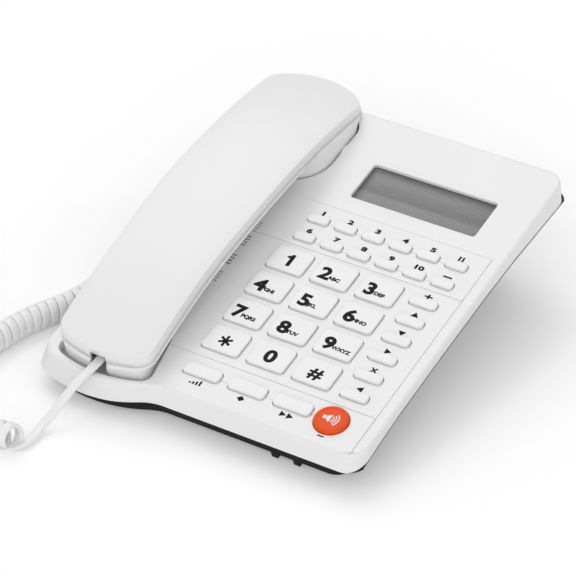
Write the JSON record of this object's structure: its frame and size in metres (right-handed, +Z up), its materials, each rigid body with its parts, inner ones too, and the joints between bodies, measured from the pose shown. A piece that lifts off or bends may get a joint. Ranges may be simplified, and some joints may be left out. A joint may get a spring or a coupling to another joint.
{
  "type": "corded landline phone",
  "caption": "Desk telephone with a wedge base, dial and memory keys, a display and a speakerphone key; its handset rests in two wells and is joined to the base by a curly cord.",
  "frame": {"origin": "on the desk, below the middle of the phone's box without its cord", "axes": "+X to the right across the keypad, +Y from the front edge to the rear, +Z up"},
  "size_m": [0.2199, 0.2829, 0.0679],
  "materials": {
    "shell_white": "satin moulded",
    "key_white": "satin moulded",
    "key_orange": "satin moulded",
    "housing_black": "fine moulded texture",
    "display_window": "clear polished",
    "display_panel": "grey liquid crystal cell",
    "board_green": "solder mask",
    "silicone_mat": "matt",
    "speaker_steel": "satin",
    "jack_nylon": "moulded",
    "screw_steel": "plated",
    "foot_rubber": "matt",
    "weight_iron": "plain",
    "plug_clear": "clear moulded",
    "print_black": "printed",
    "cord_white": "soft satin"
  },
  "bodies": {
    "base": {"top_housing": "shell_white", "bottom_housing": "housing_black", "display_window": "display_window", "display_module": "display_panel", "main_circuit_board": "board_green", "rubber_keypad": "silicone_mat", "base_speaker": "speaker_steel", "base_microphone": "housing_black", "hook_switch": "housing_black", "base_cord_jack": "jack_nylon", "line_jack": "jack_nylon", "base_screws": "screw_steel", "rubber_feet": "foot_rubber", "cord_lead": "cord_white", "curly_cord": "cord_white", "cord_tail": "cord_white", "base_plug": "plug_clear"},
    "handset": {"handset_top_shell": "shell_white", "handset_bottom_shell": "shell_white", "handset_receiver": "speaker_steel", "handset_microphone": "housing_black", "handset_weight": "weight_iron", "handset_jack": "jack_nylon", "handset_screws": "screw_steel", "handset_plug": "plug_clear"},
    "hook": {"hook_plunger": "key_white"},
    "dial_key_1_body": {"dial_key_1": "key_white"},
    "dial_key_2_body": {"dial_key_2": "key_white"},
    "dial_key_3_body": {"dial_key_3": "key_white"},
    "dial_key_4_body": {"dial_key_4": "key_white"},
    "dial_key_5_body": {"dial_key_5": "key_white"},
    "dial_key_6_body": {"dial_key_6": "key_white"},
    "dial_key_7_body": {"dial_key_7": "key_white"},
    "dial_key_8_body": {"dial_key_8": "key_white"},
    "dial_key_9_body": {"dial_key_9": "key_white"},
    "dial_key_star_body": {"dial_key_star": "key_white"},
    "dial_key_0_body": {"dial_key_0": "key_white"},
    "dial_key_hash_body": {"dial_key_hash": "key_white"},
    "memory_key_1_body": {"memory_key_1": "key_white"},
    "memory_key_2_body": {"memory_key_2": "key_white"},
    "memory_key_3_body": {"memory_key_3": "key_white"},
    "memory_key_4_body": {"memory_key_4": "key_white"},
    "memory_key_5_body": {"memory_key_5": "key_white"},
    "hold_key_body": {"hold_key": "key_white"},
    "memory_key_6_body": {"memory_key_6": "key_white"},
    "memory_key_7_body": {"memory_key_7": "key_white"},
    "memory_key_8_body": {"memory_key_8": "key_white"},
    "memory_key_9_body": {"memory_key_9": "key_white"},
    "memory_key_10_body": {"memory_key_10": "key_white"},
    "mute_key_body": {"mute_key": "key_white"},
    "set_key_body": {"set_key": "key_white"},
    "up_key_body": {"up_key": "key_white"},
    "down_key_body": {"down_key": "key_white"},
    "out_key_body": {"out_key": "key_white"},
    "delete_key_body": {"delete_key": "key_white"},
    "back_key_body": {"back_key": "key_white"},
    "volume_key_body": {"volume_key": "key_white"},
    "flash_key_body": {"flash_key": "key_white"},
    "redial_key_body": {"redial_key": "key_white"},
    "speakerphone_key_body": {"speakerphone_key": "key_orange"}
  },
  "joints": [
    {"name": "handset_lift", "type": "slide", "parent": "base", "child": "handset", "axis": [0, -0.2079, 0.9781], "range_m": [0, 0.06]},
    {"name": "hook_plunger_rise", "type": "slide", "parent": "base", "child": "hook", "axis": [0, -0.2079, 0.9781], "range_m": [0, 0.004]},
    {"name": "dial_key_1_press", "type": "slide", "parent": "base", "child": "dial_key_1_body", "axis": [0, 0.2079, -0.9781], "range_m": [0, 0.0015], "stiffness_N_per_m": 300, "springref_m": -0.0006},
    {"name": "dial_key_2_press", "type": "slide", "parent": "base", "child": "dial_key_2_body", "axis": [0, 0.2079, -0.9781], "range_m": [0, 0.0015], "stiffness_N_per_m": 300, "springref_m": -0.0006},
    {"name": "dial_key_3_press", "type": "slide", "parent": "base", "child": "dial_key_3_body", "axis": [0, 0.2079, -0.9781], "range_m": [0, 0.0015], "stiffness_N_per_m": 300, "springref_m": -0.0006},
    {"name": "dial_key_4_press", "type": "slide", "parent": "base", "child": "dial_key_4_body", "axis": [0, 0.2079, -0.9781], "range_m": [0, 0.0015], "stiffness_N_per_m": 300, "springref_m": -0.0006},
    {"name": "dial_key_5_press", "type": "slide", "parent": "base", "child": "dial_key_5_body", "axis": [0, 0.2079, -0.9781], "range_m": [0, 0.0015], "stiffness_N_per_m": 300, "springref_m": -0.0006},
    {"name": "dial_key_6_press", "type": "slide", "parent": "base", "child": "dial_key_6_body", "axis": [0, 0.2079, -0.9781], "range_m": [0, 0.0015], "stiffness_N_per_m": 300, "springref_m": -0.0006},
    {"name": "dial_key_7_press", "type": "slide", "parent": "base", "child": "dial_key_7_body", "axis": [0, 0.2079, -0.9781], "range_m": [0, 0.0015], "stiffness_N_per_m": 300, "springref_m": -0.0006},
    {"name": "dial_key_8_press", "type": "slide", "parent": "base", "child": "dial_key_8_body", "axis": [0, 0.2079, -0.9781], "range_m": [0, 0.0015], "stiffness_N_per_m": 300, "springref_m": -0.0006},
    {"name": "dial_key_9_press", "type": "slide", "parent": "base", "child": "dial_key_9_body", "axis": [0, 0.2079, -0.9781], "range_m": [0, 0.0015], "stiffness_N_per_m": 300, "springref_m": -0.0006},
    {"name": "dial_key_star_press", "type": "slide", "parent": "base", "child": "dial_key_star_body", "axis": [0, 0.2079, -0.9781], "range_m": [0, 0.0015], "stiffness_N_per_m": 300, "springref_m": -0.0006},
    {"name": "dial_key_0_press", "type": "slide", "parent": "base", "child": "dial_key_0_body", "axis": [0, 0.2079, -0.9781], "range_m": [0, 0.0015], "stiffness_N_per_m": 300, "springref_m": -0.0006},
    {"name": "dial_key_hash_press", "type": "slide", "parent": "base", "child": "dial_key_hash_body", "axis": [0, 0.2079, -0.9781], "range_m": [0, 0.0015], "stiffness_N_per_m": 300, "springref_m": -0.0006},
    {"name": "memory_key_1_press", "type": "slide", "parent": "base", "child": "memory_key_1_body", "axis": [0, 0.2079, -0.9781], "range_m": [0, 0.0015], "stiffness_N_per_m": 300, "springref_m": -0.0006},
    {"name": "memory_key_2_press", "type": "slide", "parent": "base", "child": "memory_key_2_body", "axis": [0, 0.2079, -0.9781], "range_m": [0, 0.0015], "stiffness_N_per_m": 300, "springref_m": -0.0006},
    {"name": "memory_key_3_press", "type": "slide", "parent": "base", "child": "memory_key_3_body", "axis": [0, 0.2079, -0.9781], "range_m": [0, 0.0015], "stiffness_N_per_m": 300, "springref_m": -0.0006},
    {"name": "memory_key_4_press", "type": "slide", "parent": "base", "child": "memory_key_4_body", "axis": [0, 0.2079, -0.9781], "range_m": [0, 0.0015], "stiffness_N_per_m": 300, "springref_m": -0.0006},
    {"name": "memory_key_5_press", "type": "slide", "parent": "base", "child": "memory_key_5_body", "axis": [0, 0.2079, -0.9781], "range_m": [0, 0.0015], "stiffness_N_per_m": 300, "springref_m": -0.0006},
    {"name": "hold_key_press", "type": "slide", "parent": "base", "child": "hold_key_body", "axis": [0, 0.2079, -0.9781], "range_m": [0, 0.0015], "stiffness_N_per_m": 300, "springref_m": -0.0006},
    {"name": "memory_key_6_press", "type": "slide", "parent": "base", "child": "memory_key_6_body", "axis": [0, 0.2079, -0.9781], "range_m": [0, 0.0015], "stiffness_N_per_m": 300, "springref_m": -0.0006},
    {"name": "memory_key_7_press", "type": "slide", "parent": "base", "child": "memory_key_7_body", "axis": [0, 0.2079, -0.9781], "range_m": [0, 0.0015], "stiffness_N_per_m": 300, "springref_m": -0.0006},
    {"name": "memory_key_8_press", "type": "slide", "parent": "base", "child": "memory_key_8_body", "axis": [0, 0.2079, -0.9781], "range_m": [0, 0.0015], "stiffness_N_per_m": 300, "springref_m": -0.0006},
    {"name": "memory_key_9_press", "type": "slide", "parent": "base", "child": "memory_key_9_body", "axis": [0, 0.2079, -0.9781], "range_m": [0, 0.0015], "stiffness_N_per_m": 300, "springref_m": -0.0006},
    {"name": "memory_key_10_press", "type": "slide", "parent": "base", "child": "memory_key_10_body", "axis": [0, 0.2079, -0.9781], "range_m": [0, 0.0015], "stiffness_N_per_m": 300, "springref_m": -0.0006},
    {"name": "mute_key_press", "type": "slide", "parent": "base", "child": "mute_key_body", "axis": [0, 0.2079, -0.9781], "range_m": [0, 0.0015], "stiffness_N_per_m": 300, "springref_m": -0.0006},
    {"name": "set_key_press", "type": "slide", "parent": "base", "child": "set_key_body", "axis": [0, 0.2079, -0.9781], "range_m": [0, 0.0015], "stiffness_N_per_m": 300, "springref_m": -0.0006},
    {"name": "up_key_press", "type": "slide", "parent": "base", "child": "up_key_body", "axis": [0, 0.2079, -0.9781], "range_m": [0, 0.0015], "stiffness_N_per_m": 300, "springref_m": -0.0006},
    {"name": "down_key_press", "type": "slide", "parent": "base", "child": "down_key_body", "axis": [0, 0.2079, -0.9781], "range_m": [0, 0.0015], "stiffness_N_per_m": 300, "springref_m": -0.0006},
    {"name": "out_key_press", "type": "slide", "parent": "base", "child": "out_key_body", "axis": [0, 0.2079, -0.9781], "range_m": [0, 0.0015], "stiffness_N_per_m": 300, "springref_m": -0.0006},
    {"name": "delete_key_press", "type": "slide", "parent": "base", "child": "delete_key_body", "axis": [0, 0.2079, -0.9781], "range_m": [0, 0.0015], "stiffness_N_per_m": 300, "springref_m": -0.0006},
    {"name": "back_key_press", "type": "slide", "parent": "base", "child": "back_key_body", "axis": [0, 0.2079, -0.9781], "range_m": [0, 0.0015], "stiffness_N_per_m": 300, "springref_m": -0.0006},
    {"name": "volume_key_press", "type": "slide", "parent": "base", "child": "volume_key_body", "axis": [0, 0.2079, -0.9781], "range_m": [0, 0.0015], "stiffness_N_per_m": 300, "springref_m": -0.0006},
    {"name": "flash_key_press", "type": "slide", "parent": "base", "child": "flash_key_body", "axis": [0, 0.2079, -0.9781], "range_m": [0, 0.0015], "stiffness_N_per_m": 300, "springref_m": -0.0006},
    {"name": "redial_key_press", "type": "slide", "parent": "base", "child": "redial_key_body", "axis": [0, 0.2079, -0.9781], "range_m": [0, 0.0015], "stiffness_N_per_m": 300, "springref_m": -0.0006},
    {"name": "speakerphone_key_press", "type": "slide", "parent": "base", "child": "speakerphone_key_body", "axis": [0, 0.2079, -0.9781], "range_m": [0, 0.0015], "stiffness_N_per_m": 300, "springref_m": -0.0006}
  ],
  "couplings": [
    {"joint": "hook_plunger_rise", "follows": "handset_lift", "ratio": 0.066667}
  ]
}
